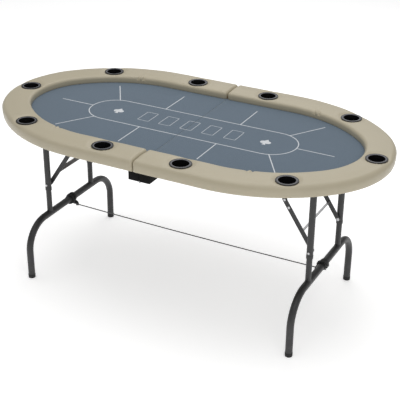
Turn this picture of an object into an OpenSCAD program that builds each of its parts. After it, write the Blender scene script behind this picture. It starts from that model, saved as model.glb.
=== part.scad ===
// Oval poker table that folds across its middle, on folding and telescoping legs.
// Millimetres, +Z up. The origin is on the floor, under the middle of the fold line.
// The long way is X. "left" pieces are on -X and "right" pieces are on +X.

/* [Table top] */
// Length over the padded rail
table_l = 1800; // [1640:10:2100]
// Width over the padded rail
table_w = 970; // [920:10:1100]
// Height of the cup lips above the floor
table_h = 803; // [760:5:860]
// Straight run of the rail, from the fold line to the first bend
straight_l = 307; // [260:1:340]
// Radius of the rail's outer edge at the two ends
end_r = 400; // [360:5:420]
// Thickness of the wooden top panel
panel_t = 15; // [12:1:18]
// Thickness of the foam under the cloth
underlay_t = 3; // [2:0.5:5]
// Thickness of the playing cloth
cloth_t = 1; // [0.8:0.1:1.5]
// Gap between the two halves at the fold line
fold_gap = 1; // [0.6:0.1:2]

/* [Padded rail] */
// Width of the rail
rail_w = 126; // [118:1:150]
// How far the rail stands above the cloth
rail_rise = 28; // [20:1:32]
// Thickness of the wooden core under the foam
core_t = 14; // [10:1:16]
// Thickness of the foam outside the panel's edge
side_foam = 12; // [9:1:14]
// Thickness of the vinyl cover
cover_t = 1.2; // [0.8:0.1:1.6]
// Rounding of the rail's top edges
rail_round = 12; // [8:1:14]
// Gap between the two rails at the fold line
rail_gap = 4; // [2:0.5:8]

/* [Cup holders] */
// Inner radius of a cup
cup_r = 34.5; // [32:0.5:38]
// Wall thickness of a cup
cup_wall = 2; // [1.5:0.1:3]
// Depth of a cup below its lip
cup_depth = 56; // [45:1:60]
// Radius of the lip
lip_r = 46; // [43:0.5:48]
// Height of the lip above the rail
lip_h = 4; // [3:0.5:5]
// Distance from the fold line to the side cups
side_cup_x = 181; // [150:1:220]
// Inset of the side cups from the outer edge
side_cup_inset = 69; // [60:1:74]
// Place of the corner cups along the shoulder bend, as a share of its sweep
corner_cup_at = 0.6205; // [0.5:0.0005:0.8]
// Inset of the corner cups from the outer edge
corner_cup_inset = 54; // [54:1:66]
// Inset of the end cups from the outer edge
end_cup_inset = 59; // [56:1:66]

/* [Legs] */
// Radius of the crossbar and feet tube
foot_r = 15.75; // [14:0.25:18]
// Radius of the upper leg tubes
sleeve_r = 14; // [13:0.25:16]
// Wall of every tube
tube_wall = 1.4; // [1.2:0.1:2]
// Half the distance between the two feet of a leg
foot_y = 343; // [320:1:400]
// Half the distance between the two uprights of a leg
upright_y = 172; // [150:1:200]
// Height of the crossbar
crossbar_z = 260; // [240:1:320]
// Radius of the bend from the crossbar down to a foot
bend_r = 125; // [120:1:160]
// Drop of the leg pivot below the panel
pivot_drop = 34; // [30:1:38]
// How far the lower leg frame slides up into the upper one
foot_travel = 100; // [90:1:110]
// Overlap of the lower leg tubes inside the upper ones
stem_overlap = 90; // [70:1:120]
// Gap between a folded leg's feet and the fold line
folded_clear = 33; // [25:1:60]

/* [Braces] */
// Drop of the lower brace pivot below the leg pivot
brace_drop = 310; // [280:1:330]
// Reach of the upper brace pivot inward from the leg pivot
brace_reach = 205; // [180:1:230]
// Width of a brace link
link_w = 20; // [16:1:22]
// Thickness of a brace link
link_t = 3; // [2:0.5:4]
// Distance of the spreader strip from the lower brace pivot
strip_at = 88; // [70:1:88]

/* [Fold hinge] */
// Length of a hinge block along X
block_x = 49; // [40:1:60]
// Length of a hinge block along Y
block_y = 67; // [50:1:70]
// Inset of a hinge block from the rail's outer edge
block_inset = 51; // [48:1:60]
// Depth of a hinge block below the panel
block_z = 65; // [60:1:70]
// Thickness of a hinge leaf
leaf_t = 2; // [1.5:0.5:3]
// Radius of the hinge pin
pin_r = 2.5; // [2:0.25:3]

/* [Hidden] */
$fn = 64;

// Fits
run_gap = 0.05;
slide_gap = 0.3;
butt_gap = 0.5;

// Heights, from the cup lips down
rail_top = table_h - lip_h;
cloth_top = rail_top - rail_rise;
panel_top = cloth_top - cloth_t - underlay_t;
panel_bottom = panel_top - panel_t;
rail_bottom = panel_bottom - cover_t;
core_top = panel_top + core_t;

// Outline: a straight side, a shoulder bend and an end bend, each tangent to the next
half_l = table_l / 2;
half_w = table_w / 2;
end_cx = half_l - end_r;
shoulder_r = ((end_cx - straight_l) ^ 2 + half_w ^ 2 - end_r ^ 2) / (2 * (half_w - end_r));
shoulder_cy = half_w - shoulder_r;
turn_a = atan2(-shoulder_cy, end_cx - straight_l);
shoulder_steps = 14;
end_steps = 10;

// Rail section
cover_wrap = 40;
bottom_round = 6;
core_inset = rail_w - 6;
cloth_inset = core_inset + 0.3;
field_gap = 0.2;

// Cup holders
cup_hole_r = cup_r + cup_wall + slide_gap;
corner_cup_r = shoulder_r - corner_cup_inset;
corner_cup_a = 90 - corner_cup_at * (90 - turn_a);
CUPS = [
    [side_cup_x, half_w - side_cup_inset],
    [straight_l + corner_cup_r * cos(corner_cup_a), shoulder_cy + corner_cup_r * sin(corner_cup_a)],
    [half_l - end_cup_inset, 0],
    [straight_l + corner_cup_r * cos(corner_cup_a), -shoulder_cy - corner_cup_r * sin(corner_cup_a)],
    [side_cup_x, side_cup_inset - half_w]
];

// Legs
pivot_z = panel_bottom - pivot_drop;
leg_x = pivot_z - foot_travel + folded_clear;
stem_r = sleeve_r - tube_wall - run_gap;
bar_r = 12.7;
collar_h = 14;
collar_lip = 1;
sleeve_bottom = crossbar_z + foot_r + foot_travel + 8;
cap_wall = 1;
cap_h = 18;
cap_floor = 4;
brace_z = pivot_z - brace_drop;

// Braces: the links are in line when the leg stands and lie on each other when it is folded
link_sum = sqrt(brace_drop ^ 2 + brace_reach ^ 2);
link_diff = brace_drop - brace_reach;
lower_link_l = (link_sum + link_diff) / 2;
upper_link_l = (link_sum - link_diff) / 2;
brace_a = 180 - atan2(brace_drop, brace_reach);
link_bore_r = 4.05;
rivet_r = 4;
lower_link_y = upright_y - sleeve_r - 5.5;
upper_link_y = lower_link_y - link_t - butt_gap;
hanger_t = 3;
hanger_y = upper_link_y - link_t - butt_gap;
stop_at = 201;

// Brackets and screws
saddle_y = 110;
saddle_w = 36;
saddle_t = 2.5;
saddle_flange = 34;
saddle_screw_x = 26;
hanger_flange_y = 26;
hanger_flange_x = 16;
hanger_screw_x = 10;
screw_r = 2;
screw_head_r = 4.2;
screw_head_h = 2.2;
screw_l = 10;

// Fold hinge
block_outer_y = half_w - block_inset;
block_bottom = panel_bottom - block_z;
hinge_z = block_bottom - 3;
knuckle_r = pin_r + 2;
knuckle_clear = 1.2;
knuckles = 5;
knuckle_gap = 0.4;
leaf_end = 3;
leaf_x = block_x - 6;
leaf_y = block_y - 2 * leaf_end;
leaf_screws = [14, 32];

// Tie cord between the two crossbars, with round-number stations along X and a slight sag
cord_r = 2.5;
cord_sides = 8;
strap_t = 3.5;
strap_w = 42;
knot_r = 14;
knot_out = 17;
knot_down = 4;
CORD = [
    [-666, 0, 237], [-620, 0, 236], [-560, 0, 235], [-480, 0, 234], [-400, 0, 233], [-300, 0, 232],
    [-200, 0, 231.5], [-100, 0, 231], [0, 0, 231], [100, 0, 231], [200, 0, 231.5], [300, 0, 232],
    [400, 0, 233], [480, 0, 234], [560, 0, 235], [620, 0, 236], [666, 0, 237]
];
cord_steps = 5;

// ---- helpers ----

function arc(c, r, a0, a1, n) = [for (i = [0:n]) let (a = a0 + (a1 - a0) * i / n) c + r * [cos(a), sin(a)]];
function back(p) = [for (i = [len(p) - 1:-1:0]) p[i]];

// Stations along one half of the rail, from the fold line round to the fold line: [outer edge, outward]
function bend_station(c, r, a) = [c + r * [cos(a), sin(a)], [cos(a), sin(a)]];
function flip_station(s) = [[s[0][0], -s[0][1]], [s[1][0], -s[1][1]]];
upper_stations = concat(
    [[[rail_gap / 2, half_w], [0, 1]]],
    [for (i = [0:shoulder_steps]) bend_station(
        [straight_l, shoulder_cy], shoulder_r, 90 - (90 - turn_a) * i / shoulder_steps)],
    [for (i = [1:end_steps]) bend_station([end_cx, 0], end_r, turn_a * (1 - i / end_steps))]);
STATIONS = concat(upper_stations, [for (i = [len(upper_stations) - 2:-1:0]) flip_station(upper_stations[i])]);

// Outline of one half of the top, inset from the rail's outer edge and starting at x0
function half_outline(inset, x0) = concat(
    [[x0, half_w - inset]],
    [for (i = [1:len(STATIONS) - 2]) STATIONS[i][0] - inset * STATIONS[i][1]],
    [[x0, inset - half_w]]);

// Outline of a flat link with round ends, from its first pivot at the origin
function link_outline(l) = concat(arc([0, 0], link_w / 2, 90, 270, 12), arc([l, 0], link_w / 2, -90, 90, 12));

// Rail contour in (inset, height), t inside the cover's outer face, from the cloth round to the wrap
function rail_contour(t) = concat(
    [[rail_w - t, cloth_top + field_gap]],
    arc([rail_w - rail_round, rail_top - rail_round], rail_round - t, 0, 90, 4),
    arc([rail_round, rail_top - rail_round], rail_round - t, 90, 180, 4),
    arc([bottom_round, rail_bottom + bottom_round], bottom_round - t, 180, 270, 3));

module right() { children(); }
module left() { mirror([1, 0, 0]) children(); }
module both_y() {
    children();
    mirror([0, 1, 0]) children();
}

// Sweeps a section given in (inset, height) along one half of the rail; a skin's section comes back on itself
module along_rail(section, skin = false) {
    n = len(section);
    m = len(STATIONS);
    caps = skin ? [for (k = [0:n / 2 - 2]) [k, k + 1, n - 2 - k, n - 1 - k]] : [[for (k = [0:n - 1]) k]];
    polyhedron(
        points = [for (s = STATIONS, p = section) [each (s[0] - p[0] * s[1]), p[1]]],
        faces = concat(
            caps,
            [for (c = caps) [for (k = back(c)) (m - 1) * n + k]],
            [for (i = [0:m - 2], k = [0:n - 1]) let (q = (k + 1) % n)
                [i * n + k, (i + 1) * n + k, (i + 1) * n + q, i * n + q]]));
}

module cup_holes(z0, z1) {
    for (c = CUPS) translate([c[0], c[1], z0 - 1]) cylinder(r = cup_hole_r, h = z1 - z0 + 2);
}

// A round bar along Y between two Y values
module bar_y(r, y0, y1) {
    translate([0, y0, 0]) rotate([-90, 0, 0]) cylinder(r = r, h = y1 - y0);
}

// Places of the underside screws on one half: saddles, hangers and hinge leaves
SADDLE_SCREWS = [for (x = [-1, 1], y = [-1, 1]) [leg_x + x * saddle_screw_x, y * saddle_y]];
HANGER_SCREWS = [for (x = [-1, 1], y = [-1, 1])
    [leg_x - brace_reach + x * hanger_screw_x, y * (hanger_y - hanger_t - hanger_flange_y / 2)]];
LEAF_SCREWS = [for (x = leaf_screws, y = [-1, 1]) [x, y * (block_outer_y - block_y / 2)]];

module screw_holes(sites, z) {
    for (s = sites) translate([s[0], s[1], z - 20]) cylinder(r = screw_r + run_gap, h = 20 + screw_l + 1);
}

module screws(sites, z) {
    for (s = sites) translate([s[0], s[1], z]) {
        cylinder(r = screw_r, h = screw_l);
        translate([0, 0, -screw_head_h]) cylinder(r = screw_head_r, h = screw_head_h);
    }
}

// ---- table top ----

module top_panel() {
    color("burlywood") difference() {
        translate([0, 0, panel_bottom]) linear_extrude(panel_t) polygon(half_outline(side_foam, fold_gap / 2));
        cup_holes(panel_bottom, panel_top);
        screw_holes(SADDLE_SCREWS, panel_bottom - 1);
        screw_holes(HANGER_SCREWS, panel_bottom - 1);
    }
}

module underlay() {
    color("dimgray") translate([0, 0, panel_top])
        linear_extrude(underlay_t) polygon(half_outline(cloth_inset, fold_gap / 2));
}

module playing_cloth() {
    color("lightslategray") translate([0, 0, panel_top + underlay_t])
        linear_extrude(cloth_t) polygon(half_outline(cloth_inset, fold_gap / 2));
}

module rail_core() {
    color("wheat") difference() {
        translate([0, 0, panel_top]) linear_extrude(core_t) difference() {
            polygon(half_outline(side_foam, rail_gap / 2));
            polygon(half_outline(core_inset, 0));
        }
        cup_holes(panel_top, core_top);
    }
}

module rail_foam() {
    color("lightyellow") difference() {
        along_rail(concat(
            rail_contour(cover_t),
            [[side_foam, panel_bottom], [side_foam, core_top], [core_inset, core_top],
             [core_inset, cloth_top + field_gap]]));
        cup_holes(panel_bottom, rail_top);
    }
}

module rail_cover() {
    color("tan") difference() {
        along_rail(concat(
            rail_contour(0), [[cover_wrap, rail_bottom], [cover_wrap, panel_bottom]],
            back(rail_contour(cover_t))), skin = true);
        cup_holes(rail_bottom, rail_top);
    }
}

// A flanged cup with a rounded lip
module cup(i) {
    cup_bottom = table_h - cup_depth - cup_wall;
    lip_round = lip_h / 2;
    color("black") translate([CUPS[i][0], CUPS[i][1], 0]) rotate_extrude() polygon(concat(
        [[0, cup_bottom], [cup_r + cup_wall, cup_bottom], [cup_r + cup_wall, rail_top], [lip_r - 1, rail_top]],
        arc([lip_r - lip_round, rail_top + lip_round], lip_round, 0, 90, 5),
        arc([cup_r + lip_round, table_h - lip_round], lip_round, 90, 180, 5),
        [[cup_r, cup_bottom + cup_wall], [0, cup_bottom + cup_wall]]));
}

// ---- fold hinge ----

module hinge_blocks() {
    color("black") difference() {
        both_y() translate([fold_gap / 2 + butt_gap, block_outer_y - block_y, block_bottom])
            cube([block_x, block_y, block_z]);
        translate([0, 0, hinge_z]) bar_y(knuckle_r + knuckle_clear, -half_w, half_w);
        screw_holes(LEAF_SCREWS, block_bottom);
    }
}

// One leaf of each hinge; odd knuckles belong to the left half and even ones to the right
module leaf_pair(first) {
    pitch = leaf_y / knuckles;
    y0 = block_outer_y - block_y + leaf_end;
    reach = knuckle_r + knuckle_clear;
    color("silver") difference() {
        both_y() {
            translate([reach, y0, hinge_z + 1]) cube([leaf_x - reach, leaf_y, leaf_t]);
            for (k = [first:2:knuckles - 1]) translate([0, y0 + k * pitch + knuckle_gap / 2, hinge_z]) {
                bar_y(knuckle_r, 0, pitch - knuckle_gap);
                translate([0, 0, 1]) cube([reach + 1, pitch - knuckle_gap, leaf_t]);
            }
        }
        translate([0, 0, hinge_z]) bar_y(pin_r + run_gap, -half_w, half_w);
        for (s = LEAF_SCREWS) translate([s[0], s[1], hinge_z]) cylinder(r = screw_r + run_gap, h = 3 * leaf_t);
    }
}

module hinge_pins() {
    head = 1.2;
    y0 = block_outer_y - block_y + leaf_end;
    color("gray") both_y() translate([0, 0, hinge_z]) {
        bar_y(pin_r, y0 - butt_gap, y0 + leaf_y + butt_gap);
        bar_y(pin_r + 1, y0 - butt_gap - head, y0 - butt_gap);
        bar_y(pin_r + 1, y0 + leaf_y + butt_gap, y0 + leaf_y + butt_gap + head);
    }
}

// ---- underside brackets ----

module leg_saddles() {
    inner = bar_r + run_gap;
    outer = inner + saddle_t;
    color("dimgray") both_y() translate([leg_x, saddle_y + saddle_w / 2, pivot_z]) rotate([90, 0, 0]) difference() {
        union() {
            linear_extrude(saddle_w) polygon(concat(
                arc([0, 0], outer, 180, 360, 24),
                [[outer, pivot_drop - saddle_t], [saddle_flange, pivot_drop - saddle_t],
                 [saddle_flange, pivot_drop], [inner, pivot_drop], [inner, 0], [-inner, 0], [-inner, pivot_drop],
                 [-saddle_flange, pivot_drop], [-saddle_flange, pivot_drop - saddle_t],
                 [-outer, pivot_drop - saddle_t]]));
        }
        translate([0, 0, -1]) cylinder(r = inner, h = saddle_w + 2);
        for (x = [-1, 1]) translate([x * saddle_screw_x, pivot_drop - 10, saddle_w / 2]) rotate([-90, 0, 0])
            cylinder(r = screw_r + run_gap, h = 20);
    }
}

module brace_hangers() {
    x = leg_x - brace_reach;
    plate_w = 18;
    color("dimgray") difference() {
        both_y() {
            translate([x, hanger_y, pivot_z]) rotate([90, 0, 0]) linear_extrude(hanger_t)
                polygon(concat(arc([0, 0], plate_w / 2, 180, 360, 12),
                    [[plate_w / 2, pivot_drop], [-plate_w / 2, pivot_drop]]));
            translate([x - hanger_flange_x, hanger_y - hanger_t - hanger_flange_y, panel_bottom - saddle_t])
                cube([2 * hanger_flange_x, hanger_flange_y + hanger_t / 2, saddle_t]);
        }
        translate([x, 0, pivot_z]) bar_y(link_bore_r, -half_w, half_w);
        screw_holes(HANGER_SCREWS, panel_bottom);
    }
}

module hanger_rivets() {
    color("silver") both_y() translate([leg_x - brace_reach, 0, pivot_z]) {
        bar_y(rivet_r, hanger_y - hanger_t - butt_gap, upper_link_y - 0.1);
        bar_y(rivet_r + 2.5, hanger_y - hanger_t - 2, hanger_y - hanger_t);
    }
}

module underside_screws() {
    color("silver") {
        screws(SADDLE_SCREWS, panel_bottom - saddle_t);
        screws(HANGER_SCREWS, panel_bottom - saddle_t);
        screws(LEAF_SCREWS, hinge_z + 1);
    }
}

// ---- legs ----

module upper_leg_frame() {
    color("darkslategray") translate([leg_x, 0, 0]) difference() {
        union() {
            for (y = [-1, 1]) translate([0, y * upright_y, sleeve_bottom])
                cylinder(r = sleeve_r, h = pivot_z + bar_r + 2 - sleeve_bottom);
            translate([0, 0, pivot_z]) bar_y(bar_r, -upright_y, upright_y);
        }
        for (y = [-1, 1]) translate([0, y * upright_y, sleeve_bottom - 1])
            cylinder(r = sleeve_r - tube_wall, h = pivot_z - bar_r - sleeve_bottom);
        translate([0, 0, brace_z]) {
            both_y() bar_y(rivet_r + run_gap, lower_link_y, upright_y);
            both_y() bar_y(3 + run_gap, upright_y, upright_y + sleeve_r + 1);
        }
    }
}

module sleeve_collars() {
    color("black") for (y = [-1, 1]) translate([leg_x, y * upright_y, 0]) difference() {
        translate([0, 0, sleeve_bottom - 4]) cylinder(r = sleeve_r + collar_lip, h = collar_h);
        translate([0, 0, sleeve_bottom]) cylinder(r = sleeve_r + run_gap, h = collar_h + 1);
        translate([0, 0, sleeve_bottom - 5]) cylinder(r = stem_r + run_gap, h = collar_h);
    }
}

module clamp_screws() {
    color("silver") both_y() translate([leg_x, 0, brace_z]) {
        bar_y(3, upright_y + stem_r + 0.3, upright_y + sleeve_r + 1);
        bar_y(5, upright_y + sleeve_r, upright_y + sleeve_r + 2.5);
    }
}

module brace_studs() {
    color("silver") both_y() translate([leg_x, 0, brace_z]) {
        bar_y(rivet_r, lower_link_y - link_t - 1, upright_y - stem_r - 0.2);
        bar_y(rivet_r + 3, lower_link_y - link_t - 2, lower_link_y - link_t - 0.1);
    }
}

module lower_leg_frame() {
    straight_y = foot_y - bend_r;
    stem_top = sleeve_bottom + stem_overlap;
    bore_r = foot_r - tube_wall;
    color("darkslategray") translate([leg_x, 0, 0]) difference() {
        union() {
            bent_foot_tube(foot_r, straight_y, cap_floor);
            both_y() translate([0, upright_y, crossbar_z]) cylinder(r = stem_r, h = stem_top - crossbar_z);
        }
        bent_foot_tube(bore_r, straight_y, 0);
        both_y() translate([0, upright_y, crossbar_z + foot_r]) cylinder(r = stem_r - tube_wall, h = stem_top);
    }
}

// The crossbar, its two bends and the two feet, as one round bar down to a height
module bent_foot_tube(r, straight_y, bottom) {
    translate([0, 0, crossbar_z]) bar_y(r, -straight_y, straight_y);
    both_y() {
        translate([0, straight_y, crossbar_z - bend_r]) rotate([90, 0, 90])
            rotate_extrude(angle = 90) translate([bend_r, 0]) circle(r = r);
        translate([0, foot_y, bottom]) cylinder(r = r, h = crossbar_z - bend_r - bottom);
    }
}

module foot_caps() {
    color("black") for (y = [-1, 1]) translate([leg_x, y * foot_y, 0]) difference() {
        cylinder(r = foot_r + run_gap + cap_wall, h = cap_h);
        translate([0, 0, cap_floor]) cylinder(r = foot_r + run_gap, h = cap_h);
    }
}

// A strap wound round the crossbar, with a knot on its inner side; the cord's end lies just under it
module tie_strap() {
    color("black") translate([leg_x, 0, crossbar_z]) difference() {
        union() {
            bar_y(foot_r + slide_gap + strap_t, -strap_w / 2, strap_w / 2);
            translate([-knot_out, 0, -knot_down]) sphere(r = knot_r);
        }
        bar_y(foot_r + slide_gap, -strap_w, strap_w);
    }
}

// ---- braces ----

// Turns a link drawn along +X at its pivot into the brace's line
module on_brace(y) {
    translate([leg_x, y, brace_z]) rotate([0, -brace_a, 0]) rotate([90, 0, 0]) children();
}

module lower_brace_links() {
    color("darkslategray") both_y() on_brace(lower_link_y) difference() {
        linear_extrude(link_t) polygon(link_outline(lower_link_l));
        translate([0, 0, -1]) cylinder(r = link_bore_r, h = link_t + 2);
        for (d = [stop_at, lower_link_l]) translate([d, 0, -1]) cylinder(r = rivet_r, h = link_t + 2);
    }
}

module brace_spreader() {
    strip_t = 2.5;
    color("darkslategray") translate([leg_x, 0, brace_z]) rotate([0, -brace_a, 0])
        translate([strip_at - strip_t / 2, link_t - lower_link_y, -link_w / 2])
            cube([strip_t, 2 * (lower_link_y - link_t), link_w]);
}

module link_rivets() {
    color("silver") both_y() on_brace(lower_link_y) for (d = [stop_at, lower_link_l]) translate([d, 0, 0]) {
        cylinder(r = rivet_r, h = link_t);
        translate([0, 0, -1.6]) cylinder(r = rivet_r + 1.5, h = 1.6);
    }
}

module upper_brace_links() {
    color("darkslategray") both_y() translate([leg_x - brace_reach, upper_link_y, pivot_z])
        rotate([0, 180 - brace_a, 0]) rotate([90, 0, 0]) difference() {
            linear_extrude(link_t) polygon(link_outline(upper_link_l));
            translate([0, 0, -1]) cylinder(r = link_bore_r, h = link_t + 2);
            translate([upper_link_l, 0, -1]) cylinder(r = rivet_r, h = link_t + 2);
        }
}

module knee_rivets() {
    color("silver") both_y() translate([leg_x - brace_reach, upper_link_y, pivot_z])
        rotate([0, 180 - brace_a, 0]) rotate([90, 0, 0]) translate([upper_link_l, 0, 0]) {
            cylinder(r = rivet_r, h = link_t);
            translate([0, 0, link_t]) cylinder(r = rivet_r + 1.5, h = 1.6);
        }
}

// ---- tie cord ----

function lerp(a, b, t) = a + (b - a) * t;
cord_line = [
    for (i = [0:len(CORD) - 2], j = [0:cord_steps - 1]) lerp(CORD[i], CORD[i + 1], j / cord_steps),
    CORD[len(CORD) - 1]
];
function cord_ring(p) = [for (k = [0:cord_sides - 1]) let (a = 360 * k / cord_sides)
    p + cord_r * [0, cos(a), sin(a)]];

module tie_cord() {
    n = len(cord_line);
    color("gray") polyhedron(
        points = [for (p = cord_line) each cord_ring(p)],
        faces = concat(
            [[for (k = [0:cord_sides - 1]) k]],
            [[for (k = [cord_sides - 1:-1:0]) (n - 1) * cord_sides + k]],
            [for (i = [0:n - 2], k = [0:cord_sides - 1]) let (m = (k + 1) % cord_sides)
                [i * cord_sides + k, (i + 1) * cord_sides + k, (i + 1) * cord_sides + m, i * cord_sides + m]]));
}

// ---- nodes ----

left() top_panel();  // left_top_panel
right() top_panel();  // right_top_panel
left() underlay();  // left_underlay
right() underlay();  // right_underlay
left() playing_cloth();  // left_playing_cloth
right() playing_cloth();  // right_playing_cloth
left() rail_core();  // left_rail_core
right() rail_core();  // right_rail_core
left() rail_foam();  // left_rail_foam
right() rail_foam();  // right_rail_foam
left() rail_cover();  // left_rail_cover
right() rail_cover();  // right_rail_cover
left() cup(0);  // left_cup_1
left() cup(1);  // left_cup_2
left() cup(2);  // left_cup_3
left() cup(3);  // left_cup_4
left() cup(4);  // left_cup_5
right() cup(0);  // right_cup_1
right() cup(1);  // right_cup_2
right() cup(2);  // right_cup_3
right() cup(3);  // right_cup_4
right() cup(4);  // right_cup_5
left() hinge_blocks();  // left_hinge_blocks
right() hinge_blocks();  // right_hinge_blocks
left() leaf_pair(0);  // left_hinge_leaves
right() leaf_pair(1);  // right_hinge_leaves
hinge_pins();
left() leg_saddles();  // left_leg_saddles
right() leg_saddles();  // right_leg_saddles
left() brace_hangers();  // left_brace_hangers
right() brace_hangers();  // right_brace_hangers
left() hanger_rivets();  // left_hanger_rivets
right() hanger_rivets();  // right_hanger_rivets
left() underside_screws();  // left_underside_screws
right() underside_screws();  // right_underside_screws
left() upper_leg_frame();  // left_upper_leg_frame
right() upper_leg_frame();  // right_upper_leg_frame
left() sleeve_collars();  // left_sleeve_collars
right() sleeve_collars();  // right_sleeve_collars
left() clamp_screws();  // left_clamp_screws
right() clamp_screws();  // right_clamp_screws
left() brace_studs();  // left_brace_studs
right() brace_studs();  // right_brace_studs
left() lower_leg_frame();  // left_lower_leg_frame
right() lower_leg_frame();  // right_lower_leg_frame
left() foot_caps();  // left_foot_caps
right() foot_caps();  // right_foot_caps
left() tie_strap();  // left_tie_strap
right() tie_strap();  // right_tie_strap
left() lower_brace_links();  // left_lower_brace_links
right() lower_brace_links();  // right_lower_brace_links
left() brace_spreader();  // left_brace_spreader
right() brace_spreader();  // right_brace_spreader
left() link_rivets();  // left_link_rivets
right() link_rivets();  // right_link_rivets
left() upper_brace_links();  // left_upper_brace_links
right() upper_brace_links();  // right_upper_brace_links
left() knee_rivets();  // left_knee_rivets
right() knee_rivets();  // right_knee_rivets
tie_cord();
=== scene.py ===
"""A folding oval poker table: padded rails, printed cloth, cups, tie cord and finishes around its frame.

Metres, +Z up, with the origin on the floor under the middle of the fold line. The long way is X.
"""

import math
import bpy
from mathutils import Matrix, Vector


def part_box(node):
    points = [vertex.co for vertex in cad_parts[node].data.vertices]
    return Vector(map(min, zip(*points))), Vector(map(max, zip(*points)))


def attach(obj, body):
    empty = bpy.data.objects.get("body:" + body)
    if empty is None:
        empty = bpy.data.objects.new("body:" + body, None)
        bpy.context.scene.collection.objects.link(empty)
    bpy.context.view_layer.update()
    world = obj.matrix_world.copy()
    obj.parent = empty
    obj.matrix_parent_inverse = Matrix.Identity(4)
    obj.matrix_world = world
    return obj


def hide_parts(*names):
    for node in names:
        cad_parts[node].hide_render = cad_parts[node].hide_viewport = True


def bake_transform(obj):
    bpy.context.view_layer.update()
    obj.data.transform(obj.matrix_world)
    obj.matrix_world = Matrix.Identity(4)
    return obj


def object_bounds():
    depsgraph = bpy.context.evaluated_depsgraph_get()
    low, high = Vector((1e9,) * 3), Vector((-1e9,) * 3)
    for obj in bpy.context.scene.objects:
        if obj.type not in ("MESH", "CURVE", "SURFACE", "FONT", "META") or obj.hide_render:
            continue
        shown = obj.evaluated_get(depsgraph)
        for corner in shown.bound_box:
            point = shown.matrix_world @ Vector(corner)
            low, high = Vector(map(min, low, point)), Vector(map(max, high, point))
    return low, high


bl_info = {
    "name": "Folding Poker Table",
    "version": (1, 0, 0),
    "blender": (4, 5, 0),
    "location": "3D View > Sidebar > Poker Table",
    "description": "Adds the padded rails, cloths, cups, tie cord and finishes of a folding poker table",
    "category": "Add Mesh",
}

import bmesh
import bpy
from bpy.props import FloatProperty, FloatVectorProperty, IntProperty, PointerProperty
from mathutils import Matrix, Vector, noise

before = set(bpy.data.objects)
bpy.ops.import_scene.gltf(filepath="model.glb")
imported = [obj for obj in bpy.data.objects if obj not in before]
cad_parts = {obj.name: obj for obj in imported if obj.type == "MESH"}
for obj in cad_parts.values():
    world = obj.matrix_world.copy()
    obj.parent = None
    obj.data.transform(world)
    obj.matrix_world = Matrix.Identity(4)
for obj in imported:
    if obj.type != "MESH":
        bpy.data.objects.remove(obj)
CAD_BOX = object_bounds()

SIDES = {"left": -1, "right": 1}
HALF_L = CAD_BOX[1].x
HALF_W = CAD_BOX[1].y

CLOTH_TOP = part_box("right_playing_cloth")[1][2]
CLOTH_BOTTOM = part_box("right_playing_cloth")[0][2]
PANEL_BOTTOM, PANEL_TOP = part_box("right_top_panel")[0][2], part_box("right_top_panel")[1][2]
RAIL_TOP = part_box("right_rail_cover")[1][2]
RAIL_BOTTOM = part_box("right_rail_cover")[0][2]
LEG_X = (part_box("right_upper_leg_frame")[0][0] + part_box("right_upper_leg_frame")[1][0]) / 2
TUBE_R = (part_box("right_lower_leg_frame")[1][0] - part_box("right_lower_leg_frame")[0][0]) / 2
CROSSBAR_Z = 0.260
UPRIGHT_Y = 0.172
STEM_R = 0.01255
MIRROR_X = Matrix.Diagonal((-1, 1, 1, 1))


# ---- sizes and colours that a user may change ----


def srgb(r, g, b):
    """A colour from 0 to 255 as linear values."""
    def linear(c):
        c /= 255
        return c / 12.92 if c <= 0.04045 else ((c + 0.055) / 1.055) ** 2.4
    return tuple(linear(c) for c in (r, g, b))


def length(name, words, value, low, high):
    return FloatProperty(name=name, description=words, default=value, min=low, max=high, unit="LENGTH")


def colour(name, words, value):
    return FloatVectorProperty(
        name=name, description=words, default=srgb(*value), subtype="COLOR", size=3, min=0, max=1)


class RailSizes(bpy.types.PropertyGroup):
    """The padded rail."""

    straight: length("Straight run", "From the fold line to the first bend", 0.307, 0.2, 0.4)
    end_radius: length("End radius", "Outer radius at the table's ends", 0.400, 0.3, 0.45)
    width: length("Side width", "Width along the straight sides", 0.131, 0.11, 0.15)
    end_width: length("End width", "Width at the table's ends", 0.1232, 0.11, 0.15)
    lift: length("Lift", "How far the stuffing stands above the frame's rail", 0.0054, 0, 0.008)
    bulge: length("Bulge", "How far the stuffing stands out from the frame's rail", 0.0042, 0, 0.008)
    crown: length("Crown", "Rise of the padding between its edges", 0.0026, 0, 0.004)
    rounding: length("Rounding", "Radius of the padding's long edges", 0.016, 0.006, 0.02)
    gap: length("Fold gap", "Half the gap between the two rails", 0.0018, 0.001, 0.006)
    end_rounding: length("End rounding", "Radius of the padding at the fold line", 0.014, 0.004, 0.015)
    pucker_x: length("Pucker place", "Where the cover puckers on the inner edge", 0.461, 0.3, 0.6)
    pucker: length("Pucker depth", "Depth of the puckers", 0.0048, 0, 0.006)
    cover: colour("Cover", "Colour of the vinyl", (181, 172, 149))


class ClothSizes(bpy.types.PropertyGroup):
    """The playing cloth and its print."""

    cloth: colour("Cloth", "Colour of the cloth", (82, 100, 116))
    ink: colour("Ink", "Colour of the print", (214, 217, 220))
    line: length("Line", "Width of the printed lines", 0.0042, 0.001, 0.01)
    track_end: length("Track end", "Half the length of the printed track", 0.498, 0.3, 0.6)
    track_width: length("Track width", "Half the width of the printed track", 0.1156, 0.05, 0.2)
    card_step: length("Card step", "Distance between the printed card boxes", 0.1054, 0.06, 0.15)


class FrameColours(bpy.types.PropertyGroup):
    """The legs and the fittings."""

    tube: colour("Tubes", "Colour of the powder coat", (52, 52, 53))
    steel: colour("Steel", "Colour of bare steel", (196, 196, 198))
    caps: colour("Foot caps", "Colour of the foot caps", (20, 20, 21))
    block: colour("Hinge blocks", "Colour of the hinge blocks", (19, 19, 20))


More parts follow.
